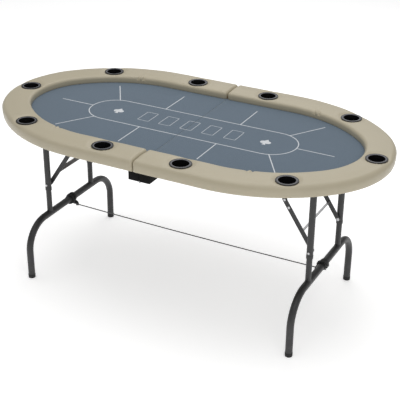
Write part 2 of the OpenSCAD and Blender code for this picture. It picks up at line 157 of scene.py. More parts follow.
class CordSizes(bpy.types.PropertyGroup):
    """The tie cord and its straps."""

    diameter: length("Cord diameter", "Diameter of the tie cord", 0.005, 0.003, 0.01)
    sides: IntProperty(name="Cord sides", description="Sides of the cord's tube", default=12, min=8, max=24)
    cord: colour("Cord", "Colour of the tie cord", (112, 112, 113))
    strap: colour("Strap", "Colour of the straps", (26, 26, 27))


# ---- mesh helpers ----


def deselect_all():
    if bpy.context.object and bpy.context.object.mode != "OBJECT":
        bpy.ops.object.mode_set(mode="OBJECT")
    bpy.ops.object.select_all(action="DESELECT")


def activate(piece):
    deselect_all()
    piece.select_set(True)
    bpy.context.view_layer.objects.active = piece


def mesh_piece(name, points, faces):
    """A new piece from points and faces, with its normals pointing outwards."""
    mesh = bpy.data.meshes.new(name)
    mesh.from_pydata([tuple(p) for p in points], [], faces)
    piece = bpy.data.objects.new(name, mesh)
    bpy.context.scene.collection.objects.link(piece)
    face_outwards(piece)
    return piece


def loft_faces(rings, sides):
    """Faces between rings of points that follow each other, with a face over each end."""
    faces = []
    for i in range(rings - 1):
        for k in range(sides):
            m = (k + 1) % sides
            faces.append((i * sides + k, i * sides + m, (i + 1) * sides + m, (i + 1) * sides + k))
    faces.append(tuple(range(sides)))
    faces.append(tuple((rings - 1) * sides + k for k in range(sides)))
    return faces


def face_outwards(piece):
    shape = bmesh.new()
    shape.from_mesh(piece.data)
    bmesh.ops.remove_doubles(shape, verts=shape.verts, dist=1e-6)
    bmesh.ops.recalc_face_normals(shape, faces=shape.faces)
    shape.to_mesh(piece.data)
    shape.free()


def smooth(piece, angle):
    activate(piece)
    bpy.ops.object.shade_smooth_by_angle(angle=math.radians(angle))


def settle(piece):
    """Moves a piece's place into its mesh."""
    activate(piece)
    bpy.ops.object.transform_apply(location=True, rotation=True, scale=True)


def name_piece(name):
    """Names the piece just made, and its mesh."""
    piece = bpy.context.object
    piece.name = name
    piece.data.name = name
    return piece


def choose(kind, test):
    """Selects only the faces or edges that pass a test, in edit mode."""
    bpy.ops.mesh.select_mode(type=kind)
    shape = bmesh.from_edit_mesh(bpy.context.object.data)
    for part in list(shape.verts) + list(shape.edges) + list(shape.faces):
        part.select_set(False)
    for part in (shape.faces if kind == "FACE" else shape.edges):
        if test(part):
            part.select_set(True)
    bmesh.update_edit_mesh(bpy.context.object.data)


def edit():
    bpy.ops.object.mode_set(mode="EDIT")


def end_edit():
    bpy.ops.object.mode_set(mode="OBJECT")


def apply_modifier(piece, kind, **settings):
    activate(piece)
    modifier = piece.modifiers.new(kind.title(), kind)
    for key, value in settings.items():
        setattr(modifier, key, value)
    bpy.ops.object.modifier_apply(modifier=modifier.name)


def copy_piece(piece, name, move):
    """A copy with a mesh of its own, moved by a matrix."""
    twin = bpy.data.objects.new(name, piece.data.copy())
    bpy.context.scene.collection.objects.link(twin)
    twin.data.transform(move)
    if move.determinant() < 0:
        twin.data.flip_normals()
    return twin


def join_pieces(pieces, name):
    deselect_all()
    for piece in pieces:
        piece.select_set(True)
    bpy.context.view_layer.objects.active = pieces[0]
    bpy.ops.object.join()
    return name_piece(name)


def remove(piece):
    bpy.data.objects.remove(piece, do_unlink=True)


def place(piece, body, finish, slot, *nodes):
    """Gives a finished piece its finish, hides the CAD nodes it replaces and attaches it to its body if one
    is given; the slot is not used.
    """
    piece.data.materials.clear()
    piece.data.materials.append(material(finish))
    if nodes:
        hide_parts(*nodes)
    if body:
        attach(piece, body)


def tube_mesh(name, line, radius, sides):
    """A closed round tube along a line, with a UV map of turns and metres."""
    points, along = [], [0.0]
    for i, p in enumerate(line):
        if i:
            along.append(along[-1] + (p - line[i - 1]).length)
        ahead = line[min(i + 1, len(line) - 1)] - line[max(i - 1, 0)]
        side = ahead.cross(Vector((0, 0, 1))).normalized()
        top = side.cross(ahead).normalized()
        for k in range(sides):
            a = 2 * math.pi * k / sides
            points.append(p + radius * (math.cos(a) * side + math.sin(a) * top))
    piece = mesh_piece(name, points, loft_faces(len(line), sides))
    wrap = piece.data.uv_layers.new(name="turn")
    for face in piece.data.polygons:
        for loop in face.loop_indices:
            v = piece.data.loops[loop].vertex_index
            i, k = divmod(v, sides)
            wrap.data[loop].uv = (k / sides, along[i])
    smooth(piece, 50)
    return piece


def smooth_line(stops, steps):
    """A smooth curve through the stops."""
    line = []
    for i in range(len(stops) - 1):
        before, a, b = stops[max(i - 1, 0)], stops[i], stops[i + 1]
        after = stops[min(i + 2, len(stops) - 1)]
        for j in range(steps):
            t = j / steps
            line.append(0.5 * (
                2 * a + (b - before) * t + (2 * before - 5 * a + 4 * b - after) * t ** 2
                + (3 * a - before - 3 * b + after) * t ** 3))
    line.append(stops[-1].copy())
    return line


# ---- shader helpers ----


class Value:
    """A socket in a finish's shader, with Python's operators adding its Math nodes."""

    def __init__(self, paint, socket):
        self.paint = paint
        self.socket = socket

    def math(self, operation, *others):
        return self.paint.node("ShaderNodeMath", {"operation": operation}, (self, *others))

    def __add__(self, other):
        return self.math("ADD", other)

    def __radd__(self, other):
        return self.math("ADD", other)

    def __sub__(self, other):
        return self.math("SUBTRACT", other)

    def __rsub__(self, other):
        return self.paint.node("ShaderNodeMath", {"operation": "SUBTRACT"}, (other, self))

    def __mul__(self, other):
        return self.math("MULTIPLY", other)

    def __truediv__(self, other):
        return self.math("DIVIDE", other)

    def __abs__(self):
        return self.math("ABSOLUTE")

    def low(self, other):
        return self.math("MINIMUM", other)

    def high(self, other):
        return self.math("MAXIMUM", other)

    def hypot(self, other):
        return (self * self + other * other).math("SQRT")

    def soft_below(self, limit, edge):
        """1 below the limit and 0 above it, with a soft edge."""
        return ((limit - self) / edge + 0.5).high(0).low(1)


class Paint:
    """One finish being mixed on a Principled shader."""

    def __init__(self, name):
        self.material = bpy.data.materials.new(name)
        self.material.use_nodes = True
        self.tree = self.material.node_tree
        self.shader = self.tree.nodes["Principled BSDF"]

    def node(self, kind, settings=None, values=(), out=0):
        """Adds a node with its settings first, then its sockets' values or links, and gives an output."""
        made = self.tree.nodes.new(kind)
        for key, value in (settings or {}).items():
            setattr(made, key, value)
        pairs = values.items() if isinstance(values, dict) else enumerate(values)
        for key, value in pairs:
            self.feed(made.inputs[key], value)
        return Value(self, made.outputs[out])

    def feed(self, socket, value):
        if isinstance(value, Value):
            self.tree.links.new(value.socket, socket)
        elif isinstance(value, (tuple, list)) and len(value) == 3 and socket.type == "RGBA":
            socket.default_value = (*value, 1)
        else:
            socket.default_value = value

    def point(self):
        return self.node("ShaderNodeTexCoord", out="Object")

    def axes(self, vector=None):
        vector = vector or self.point()
        split = self.tree.nodes.new("ShaderNodeSeparateXYZ")
        self.tree.links.new(vector.socket, split.inputs[0])
        return [Value(self, split.outputs[i]) for i in range(3)]

    def stretched(self, x, y, z):
        return self.node("ShaderNodeMapping", None, {"Vector": self.point(), "Scale": (x, y, z)})

    def noise(self, scale, detail=3.0, where=None):
        return self.node("ShaderNodeTexNoise", None, {
            "Vector": where or self.point(), "Scale": scale, "Detail": detail, "Roughness": 0.55})

    def blend(self, share, a, b):
        return self.node("ShaderNodeMix", {"data_type": "RGBA"}, {0: share, 6: a, 7: b}, out=2)

    def bump(self, height, depth, strength):
        return self.node("ShaderNodeBump", None, {
            "Height": height, "Distance": depth, "Strength": strength})

    def finish(self, **sockets):
        names = {"colour": "Base Color", "rough": "Roughness", "metal": "Metallic", "normal": "Normal",
                 "sheen": "Sheen Weight", "sheen_rough": "Sheen Roughness",
                 "specular": "Specular IOR Level", "glow": "Emission Color"}
        for key, value in sockets.items():
            self.feed(self.shader.inputs[names[key]], value)
        return self.material


def shade(tone, factor):
    return tuple(min(c * factor, 1) for c in tone)


# ---- finishes ----


def vinyl():
    """Soft grained vinyl over foam."""
    p = Paint("rail_vinyl")
    tone = bpy.context.scene.poker_rail.cover
    pebbles = p.node("ShaderNodeTexVoronoi", {"feature": "SMOOTH_F1"}, {
        "Vector": p.point(), "Scale": 620, "Smoothness": 0.6})
    creases = p.noise(210, 5)
    cloud = p.noise(7, 2)
    grain = pebbles * 0.7 + creases * 0.5
    mottled = p.blend(cloud, shade(tone, 0.95), shade(tone, 1.05))
    body = p.blend((pebbles * 0.35).low(1), mottled, shade(tone, 0.86))
    return p.finish(
        colour=body, rough=0.30 + creases * 0.16, normal=p.bump(grain, 0.00025, 0.55), specular=0.45)


# The print's fixed places and sizes, in metres from the middle of the fold line
INK_EDGE = 0.0009
DIVIDER_X, DIVIDER_END = 0.186, 0.290
AXIS_END = 0.665
SLANT_FROM, SLANT_TO = Vector((0.4225, 0.1100)), Vector((0.5210, 0.2656))
CARD_HALF_X, CARD_HALF_Y, CARD_CORNER, CARD_LINE = 0.0272, 0.0465, 0.005, 0.0011
SUIT_X = 0.360


def spade_mask(x, y):
    """A spade with its tip towards +Y, about 46 mm wide, around the given local coordinates."""
    side = abs(x)
    lobes = (side - 0.0115).hypot(y + 0.004) - 0.0125
    point = (side + (y + 0.005) * 0.72 - 0.0215).high(-0.005 - y)
    stem = (side - 0.0022 + (y + 0.008) * 0.32).high(-0.029 - y).high(y + 0.006)
    return lobes.low(point).low(stem).soft_below(0.0, 0.0008)


def print_mask(p):
    """The printed track, dividers, card boxes and suit marks."""
    sizes = bpy.context.scene.poker_cloth
    half = sizes.line / 2
    x, y, _ = p.axes()
    ax, ay = abs(x), abs(y)
    bend = sizes.track_end - sizes.track_width
    track = abs((ax - bend).high(0).hypot(y) - sizes.track_width) - half
    divider = abs(ax - DIVIDER_X).high(ay - DIVIDER_END + half).high(sizes.track_width + half - ay) - half
    axial = ay.high(ax - AXIS_END + half).high(sizes.track_end + half - ax) - half
    reach = SLANT_TO - SLANT_FROM
    run = reach.normalized()
    from_x, from_y = ax - SLANT_FROM.x, ay - SLANT_FROM.y
    along = from_x * run.x + from_y * run.y
    across = abs(from_x * run.y - from_y * run.x)
    slant = across.high(along - reach.length + half).high(half - along) - half
    lines = track.low(divider).low(axial).low(slant).soft_below(0.0, INK_EDGE)
    nearest = (x / sizes.card_step + 0.5).math("FLOOR") * sizes.card_step
    box_x = abs(x - nearest) - (CARD_HALF_X - CARD_CORNER)
    box_y = ay - (CARD_HALF_Y - CARD_CORNER)
    rim = box_x.high(0).hypot(box_y.high(0)) + box_x.high(box_y).low(0) - CARD_CORNER
    cards = (abs(rim) - CARD_LINE).high(ax - 2.5 * sizes.card_step).soft_below(0.0, INK_EDGE)
    return lines.high(cards).high(spade_mask(ax - SUIT_X, y))


def printed_cloth():
    """Close-woven cloth with its print worn a little thin."""
    p = Paint("playing_cloth")
    sizes = bpy.context.scene.poker_cloth
    x, y, _ = p.axes()
    thread = 2 * math.pi / 0.0011
    weave = (x * thread).math("SINE") * (y * thread).math("SINE")
    fibre = p.noise(900, 3)
    cloud = p.noise(5, 3)
    ground = p.blend(cloud, shade(sizes.cloth, 0.93), shade(sizes.cloth, 1.07))
    ground = p.blend(fibre * 0.35, ground, shade(sizes.cloth, 0.78))
    ink = print_mask(p) * (0.80 + fibre * 0.25).low(1)
    return p.finish(
        colour=p.blend(ink, ground, tuple(sizes.ink)), rough=0.86 - ink * 0.12,
        normal=p.bump(weave * 0.5 + fibre, 0.00018, 0.5), sheen=0.25, sheen_rough=0.6, specular=0.3)


def powder_coat():
    """Charcoal powder coat with a fine orange peel, rubbed near the floor."""
    p = Paint("powder_coat")
    tone = bpy.context.scene.poker_frame.tube
    peel = p.noise(420, 2)
    scuff = p.noise(38, 6)
    z = p.axes()[2]
    low = (0.16 - z).math("MULTIPLY", 3).high(0).low(0.4)
    rubbed = ((scuff - 0.56) * 9).high(0).low(1) * (low + 0.10)
    return p.finish(
        colour=p.blend(rubbed, p.blend(scuff, shade(tone, 0.88), shade(tone, 1.15)), shade(tone, 2.2)),
        rough=0.38 + scuff * 0.14, metal=0.15, normal=p.bump(peel, 0.0002, 0.35), specular=0.55)


def bare_steel():
    """Zinc-bright steel with fine brush lines."""
    p = Paint("bare_steel")
    tone = bpy.context.scene.poker_frame.steel
    brush = p.noise(60, 4, p.stretched(1, 14, 14))
    cloud = p.noise(90, 3)
    return p.finish(
        colour=p.blend(cloud, shade(tone, 0.82), shade(tone, 1.05)), rough=0.24 + brush * 0.2,
        metal=1.0, normal=p.bump(brush, 0.00006, 0.3))


def bracket_paint():
    """Satin black paint on pressed brackets, worn through in small spots."""
    p = Paint("bracket_paint")
    wear = ((p.noise(120, 6) - 0.62) * 10).high(0).low(1)
    return p.finish(
        colour=p.blend(wear * 0.5, srgb(38, 38, 39), srgb(120, 120, 120)), rough=0.42 + wear * 0.1,
        metal=wear * 0.6, normal=p.bump(p.noise(500, 2), 0.0001, 0.3))


def moulded(name, tone, rough, scale):
    """Moulded plastic or rubber with a spark-eroded grain."""
    p = Paint(name)
    spark = p.noise(scale, 4)
    cloud = p.noise(25, 3)
    return p.finish(
        colour=p.blend(cloud, shade(tone, 0.85), shade(tone, 1.25)), rough=rough + cloud * 0.08,
        normal=p.bump(spark, 0.00012, 0.35), specular=0.5)


def cup_plastic():
    return moulded("cup_plastic", srgb(15, 15, 16), 0.22, 900)


def lip_plastic():
    return moulded("lip_plastic", srgb(88, 88, 92), 0.34, 800)


def cap_rubber():
    return moulded("cap_rubber", bpy.context.scene.poker_frame.caps, 0.62, 1200)


def painted_block():
    """Black stain over the blocks' grain."""
    p = Paint("painted_block")
    tone = bpy.context.scene.poker_frame.block
    grain = p.noise(55, 5, p.stretched(0.25, 3.0, 1.2))
    return p.finish(
        colour=p.blend(grain, shade(tone, 0.5), shade(tone, 1.1)), rough=0.62 + grain * 0.15,
        normal=p.bump(grain, 0.0004, 0.35), specular=0.12)


def board():
    """Stained fibreboard with a faint fleck."""
    p = Paint("stained_board")
    fleck = p.noise(260, 5)
    drift = p.noise(9, 3, p.stretched(0.4, 2.2, 1))
    ground = p.blend(drift, srgb(58, 52, 47), srgb(78, 70, 62))
    return p.finish(
        colour=p.blend(fleck * 0.4, ground, srgb(44, 39, 35)), rough=0.62 + fleck * 0.14,
        normal=p.bump(fleck, 0.0002, 0.4))


def plain_wood():
    """Raw softwood core."""
    p = Paint("core_wood")
    rings = p.noise(28, 5, p.stretched(0.5, 4, 4))
    return p.finish(
        colour=p.blend(rings, srgb(196, 164, 118), srgb(158, 122, 80)), rough=0.6 + rings * 0.15,
        normal=p.bump(rings, 0.0003, 0.4))


def foam():
    """Open-cell foam."""
    p = Paint("foam")
    cells = p.node("ShaderNodeTexVoronoi", None, {"Vector": p.point(), "Scale": 700})
    return p.finish(
        colour=p.blend(cells, srgb(226, 220, 186), srgb(178, 170, 132)), rough=0.95,
        normal=p.bump(cells, 0.0004, 0.6))


def braid():
    """Round braided cord, from its own map of turns and metres."""
    p = Paint("braided_cord")
    tone = bpy.context.scene.poker_cord.cord
    u, v, _ = p.axes(p.node("ShaderNodeTexCoord", out="UV"))
    turn, lay = 2 * math.pi * 4, 2 * math.pi / 0.007
    strands = (u * turn + v * lay).math("SINE") * (u * turn - v * lay).math("SINE")
    fuzz = p.noise(1500, 3)
    return p.finish(
        colour=p.blend((strands * 0.5 + 0.5) * (0.6 + fuzz * 0.4), shade(tone, 0.62), shade(tone, 1.2)),
        rough=0.78 + fuzz * 0.1, normal=p.bump(strands + fuzz * 0.5, 0.0003, 0.6))


def webbing():
    """Woven black strap."""
    p = Paint("strap_webbing")
    tone = bpy.context.scene.poker_cord.strap
    x, y, z = p.axes()
    ribs = (y * (2 * math.pi / 0.0016)).math("SINE") * ((x + z) * (2 * math.pi / 0.0020)).math("SINE")
    fuzz = p.noise(1100, 4)
    return p.finish(
        colour=p.blend(fuzz, shade(tone, 0.6), shade(tone, 1.5)), rough=0.82 + fuzz * 0.1,
        normal=p.bump(ribs + fuzz, 0.0003, 0.6), sheen=0.15)


def floor_paint():
    """White floor that gives back a little light of its own."""
    p = Paint("floor")
    cloud = p.noise(0.6, 2)
    p.shader.inputs["Emission Strength"].default_value = 0.46
    return p.finish(
        colour=p.blend(cloud, srgb(249, 249, 249), srgb(252, 252, 252)), rough=0.9, glow=(1, 1, 1))


FINISHES = {
    "vinyl": vinyl, "cloth": printed_cloth, "tube": powder_coat, "steel": bare_steel,
    "bracket": bracket_paint, "cup": cup_plastic, "lip": lip_plastic, "cap": cap_rubber,
    "block": painted_block, "board": board, "core": plain_wood, "foam": foam, "cord": braid,
    "strap": webbing, "floor": floor_paint,
}
MADE = {}


def material(name):
    if name not in MADE:
        MADE[name] = FINISHES[name]()
    return MADE[name]


# ---- stage ----


class PokerStage(bpy.types.Operator):
    """Adds the camera, the floor and the lights"""

    bl_idname = "poker.stage"
    bl_label = "Stage"

    def execute(self, context):
        eye = Vector((1.8830, -3.5190, 2.4585))
        back = Vector((0.41066, -0.78917, 0.45669))
        right = Vector((0.88495, 0.46561, 0.00882))
        up = back.cross(right)
        camera = bpy.data.objects.new("camera", bpy.data.cameras.new("camera"))
        context.scene.collection.objects.link(camera)
        camera.matrix_world = Matrix((
            (right.x, up.x, back.x, eye.x), (right.y, up.y, back.y, eye.y),
            (right.z, up.z, back.z, eye.z), (0, 0, 0, 1)))
        camera.data.sensor_width = 36
        camera.data.lens = 89.81
        context.scene.camera = camera

        deselect_all()
        bpy.ops.mesh.primitive_grid_add(x_subdivisions=8, y_subdivisions=8, size=60, location=(0, 0, 0))
        floor = name_piece("floor")
        floor.data.materials.append(material("floor"))

        world = bpy.data.worlds.new("studio")
        world.use_nodes = True
        sky = world.node_tree.nodes["Background"].inputs
        sky["Color"].default_value = (1, 1, 1, 1)
        sky["Strength"].default_value = 0.36
        context.scene.world = world
        for name, spot, aim, size, watts in (
                ("overhead", (-0.3, 0.2, 4.6), (0, 0, 0.6), 4.5, 108),
                ("key", (2.4, -2.6, 3.4), (0, 0, 0.6), 2.4, 26),
                ("rim", (-0.8, 3.6, 3.2), (0, 0, 0.7), 3.0, 20)):
            lamp = bpy.data.lights.new(name, "AREA")
            lamp.size = size
            lamp.energy = watts
            light = bpy.data.objects.new(name, lamp)
            context.scene.collection.objects.link(light)
            light.location = spot
            light.rotation_euler = (Vector(aim) - Vector(spot)).to_track_quat("-Z", "Y").to_euler()
        context.scene.view_settings.view_transform = "Standard"
        return {"FINISHED"}


# ---- tie cord and straps ----

# Stations of the cord's line, from the left knot to the right one
CORD_STOPS = [
    (-0.666, 0, 0.237), (-0.620, 0, 0.236), (-0.560, 0, 0.235), (-0.480, 0, 0.234), (-0.400, 0, 0.233),
    (-0.300, 0, 0.232), (-0.200, 0, 0.2315), (-0.100, 0, 0.231), (0, 0, 0.231), (0.100, 0, 0.231),
    (0.200, 0, 0.2315), (0.300, 0, 0.232), (0.400, 0, 0.233), (0.480, 0, 0.234), (0.560, 0, 0.235),
    (0.620, 0, 0.236), (0.666, 0, 0.237),
]

# Where the cord passes from one body to the next: at a knot, beside a leg and under a half
KNOT_X = 0.666
UNDER_X = 0.635
DROP_X = 0.260


def cord_stretch(line, x0, x1):
    """The stretch of the cord's line between two places along X."""
    def at(x):
        for a, b in zip(line, line[1:]):
            if a.x <= x <= b.x:
                return a.lerp(b, (x - a.x) / (b.x - a.x))
        return line[0].copy() if x < line[0].x else line[-1].copy()
    inner = [p for p in line if x0 + 0.002 < p.x < x1 - 0.002]
    return [at(x0)] + inner + [at(x1)]


class PokerCord(bpy.types.Operator):
    """Adds the tie cord, in stretches split where it passes from one leg or half to the next"""

    bl_idname = "poker.cord"
    bl_label = "Tie cord"

    def execute(self, context):
        sizes = context.scene.poker_cord
        line = smooth_line([Vector(p) for p in CORD_STOPS], 8)
        stretches = (
            ("tie_cord_left_end", -KNOT_X, -UNDER_X, "left_foot", "left_leg"),
            ("tie_cord_left", -UNDER_X, -DROP_X, "left_leg", "left_half"),
            ("tie_cord_middle", -DROP_X, DROP_X, "left_half", "right_half"),
            ("tie_cord_right", DROP_X, UNDER_X, "right_half", "right_leg"),
            ("tie_cord_right_end", UNDER_X, KNOT_X, "right_leg", "right_foot"),
        )
        for name, x0, x1, before, after in stretches:
            path = cord_stretch(line, x0, x1)
            piece = tube_mesh(name, path, sizes.diameter / 2, sizes.sides)
            place(piece, None, "cord", "cord", "tie_cord")
            run = sum((b - a).length for a, b in zip(path, path[1:]))
            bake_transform(piece)
        return {"FINISHED"}


def band(turns, width, thick, lift, lean, offset, phase):
    """A flat strap wound round the crossbar, leaning along it as it goes round."""
    rings = []
    steps = 40
    radius = TUBE_R + lift
    count = int(steps * turns)
    for i in range(count + 1):
        t = i / steps
        a = 2 * math.pi * t + phase
        grow = radius + thick * 0.85 * t
        centre = Vector((grow * math.cos(a), offset + lean * math.sin(a + phase), grow * math.sin(a)))
        out = Vector((math.cos(a), 0, math.sin(a)))
        rings.append((centre, out))
    return ribbon("wrap", rings, width, thick)


def ribbon(name, rings, width, thick):
    """A flat strap with rounded edges along rings of [centre, outward]."""
    section = [(-0.5, 0.12), (-0.42, 0.5), (-0.15, 0.56), (0.15, 0.56), (0.42, 0.5), (0.5, 0.12),
               (0.5, -0.12), (0.42, -0.5), (-0.42, -0.5), (-0.5, -0.12)]
    points = []
    for i, (centre, out) in enumerate(rings):
        ahead = rings[min(i + 1, len(rings) - 1)][0] - rings[max(i - 1, 0)][0]
        across = ahead.cross(out).normalized()
        for s, h in section:
            points.append(centre + across * s * width + out * h * thick)
    return mesh_piece(name, points, loft_faces(len(rings), len(section)))


# Each wrap of a strap: turns, width, thickness, height above the crossbar, lean, place along it
# and start angle
WRAPS = (
    (1.12, 0.021, 0.0022, 0.0016, 0.004, -0.010, 1.1),
    (1.12, 0.021, 0.0022, 0.0018, -0.004, 0.011, 2.3),
    (1.04, 0.017, 0.0024, 0.0062, 0.012, 0.001, 0.2),
)
TAIL_WIDTH, TAIL_THICK = 0.015, 0.0026

# Middle line of each strap's loose tail, from the crossbar's axis: inward, along it and up
TAILS = {
    "left": ((0.006, 0.004, -0.0170), (0.0125, 0.009, -0.0190), (0.0180, 0.0135, -0.0212),
             (0.0222, 0.0165, -0.0268), (0.0236, 0.0185, -0.0345), (0.0234, 0.0200, -0.0430)),
    "right": ((0.0165, 0.003, -0.0050), (0.0190, 0.008, -0.0078), (0.0210, 0.0125, -0.0115),
              (0.0225, 0.0160, -0.0160), (0.0232, 0.0190, -0.0210), (0.0236, 0.0215, -0.0270)),
}


class PokerStraps(bpy.types.Operator):
    """Adds the knotted straps round the crossbars, with their loose tails"""

    bl_idname = "poker.straps"
    bl_label = "Tie straps"

    def execute(self, context):
        for side, sign in SIDES.items():
            parts = [band(*wrap) for wrap in WRAPS]
            route = smooth_line([Vector(p) for p in TAILS[side]], 5)
            face = Vector((-0.41 * sign, 0.79 * sign, 0.46))
            rings = []
            for i, p in enumerate(route):
                ahead = (route[min(i + 1, len(route) - 1)] - route[max(i - 1, 0)]).normalized()
                rings.append((p, (face - face.dot(ahead) * ahead).normalized()))
            parts.append(ribbon("tail", rings, TAIL_WIDTH, TAIL_THICK))
            knot = join_pieces(parts, f"{side}_tie_strap_wrap")
            # A knot is laid out with +X inward, as on the left leg, so the right one is turned about
            turn = Matrix.Rotation(math.pi if sign > 0 else 0, 4, "Z")
            knot.data.transform(Matrix.Translation((sign * LEG_X, 0, CROSSBAR_Z)) @ turn)
            face_outwards(knot)
            smooth(knot, 60)
            place(knot, f"{side}_foot", "strap", "strap", f"{side}_tie_strap")
        return {"FINISHED"}


# ---- padded rails ----


def shoulder():
    """The shoulder bend's centre height and radius and the angle where the end bend takes over."""
    sizes = bpy.context.scene.poker_rail
    run = HALF_L - sizes.end_radius - sizes.straight
    radius = (run ** 2 + HALF_W ** 2 - sizes.end_radius ** 2) / (2 * (HALF_W - sizes.end_radius))
    centre_y = HALF_W - radius
    return centre_y, radius, math.atan2(-centre_y, run)


def edge_stations(step):
    """[outer edge, outward, share of the way to the end] along the +Y quarter of the right half."""
    sizes = bpy.context.scene.poker_rail
    centre_y, radius, turn = shoulder()
    stations = []
    count = math.ceil((sizes.straight - 0.020) / step)
    for i in range(count + 1):
        x = 0.020 + (sizes.straight - 0.020) * i / count
        stations.append((Vector((x, HALF_W)), Vector((0, 1))))
    count = math.ceil(radius * (math.pi / 2 - turn) / step)
    for i in range(1, count + 1):
        a = math.pi / 2 - (math.pi / 2 - turn) * i / count
        out = Vector((math.cos(a), math.sin(a)))
        stations.append((Vector((sizes.straight, centre_y)) + radius * out, out))
    count = math.ceil(sizes.end_radius * turn / step)
    for i in range(1, count + 1):
        a = turn * (1 - i / count)
        out = Vector((math.cos(a), math.sin(a)))
        stations.append((Vector((HALF_L - sizes.end_radius, 0)) + sizes.end_radius * out, out))
    return stations


# Insets of the padding's inside from the outer edge, and its bottom edge
PANEL_INSET = 0.0116
WRAP_START, WRAP_END = 0.0220, 0.0395
CORE_INSET = 0.1190
BOTTOM_ROUNDING = 0.006


def rail_section(width, worn):
    """The padding's closed section as (inset, height), its outside pulled in by worn near the fold line."""
    sizes = bpy.context.scene.poker_rail
    r = sizes.rounding
    base = CLOTH_TOP + 0.0003
    mid = RAIL_TOP + sizes.lift - r
    inner_r, outer_r = r - worn, r - 0.75 * worn
    inner_u, outer_u = width - 1.15 * worn, 0.55 * worn
    top = RAIL_TOP + sizes.lift - worn
    ring = [(inner_u - 0.0014, base), (inner_u - 0.0004, base + 0.0028), (inner_u, base + 0.0065),
            (inner_u, mid)]
    for i in range(1, 8):
        a = math.radians(90 * i / 7)
        ring.append((inner_u - inner_r * (1 - math.cos(a)), mid + (top - mid) * math.sin(a)))
    u0, u1 = inner_u - inner_r, outer_u + outer_r
    for i in range(1, 9):
        t = i / 9
        rise = sizes.crown * (1 - math.cos(2 * math.pi * t)) / 2
        ring.append((u0 + (u1 - u0) * t, top + rise * (1 - worn / r)))
    bulge = sizes.bulge * (1 - worn / r)
    for i in range(8):
        a = math.radians(90 + 90 * i / 7)
        ring.append((u1 + outer_r * math.cos(a) - bulge * (i / 7) ** 2, mid + (top - mid) * math.sin(a)))
    bottom_r = BOTTOM_ROUNDING
    ring.append((outer_u - bulge, (mid + RAIL_BOTTOM + bottom_r) / 2))
    for i in range(5):
        a = math.radians(180 + 90 * i / 4)
        ring.append(((outer_u - 0.5 * bulge) * (1 - i / 4) + bottom_r * (1 + math.cos(a)),
                     RAIL_BOTTOM + bottom_r * (1 + math.sin(a))))
    ring += [(WRAP_START, RAIL_BOTTOM), (WRAP_END, RAIL_BOTTOM), (WRAP_END + 0.0005, PANEL_BOTTOM - 0.0002),
             (PANEL_INSET, PANEL_BOTTOM - 0.0002), (PANEL_INSET, PANEL_TOP + 0.0004),
             (CORE_INSET, PANEL_TOP + 0.0004), (CORE_INSET, base)]
    return ring


def cup_places(side="right"):
    """Middles of one half's cups."""
    places = []
    for i in range(1, 6):
        low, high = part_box(f"{side}_cup_{i}")
        places.append(Vector(((low[0] + high[0]) / 2, (low[1] + high[1]) / 2)))
    return places


def settle_padding(point, cups):
    """Lets the top of the padding dip round the cups and wander a little, as stretched foam does."""
    if point.z < CLOTH_TOP + 0.010:
        return point
    share = min((point.z - CLOTH_TOP - 0.010) / 0.012, 1)
    near = min((Vector((point.x, point.y)) - c).length for c in cups)
    dip = max(point.z - RAIL_TOP + 0.0004, 0) * math.exp(-(max(near - 0.0465, 0) / 0.009) ** 2)
    wave = noise.noise(point * 11) * 0.0007 + noise.noise(point * 31) * 0.0003
    return point + Vector((0, 0, share * (wave - dip)))


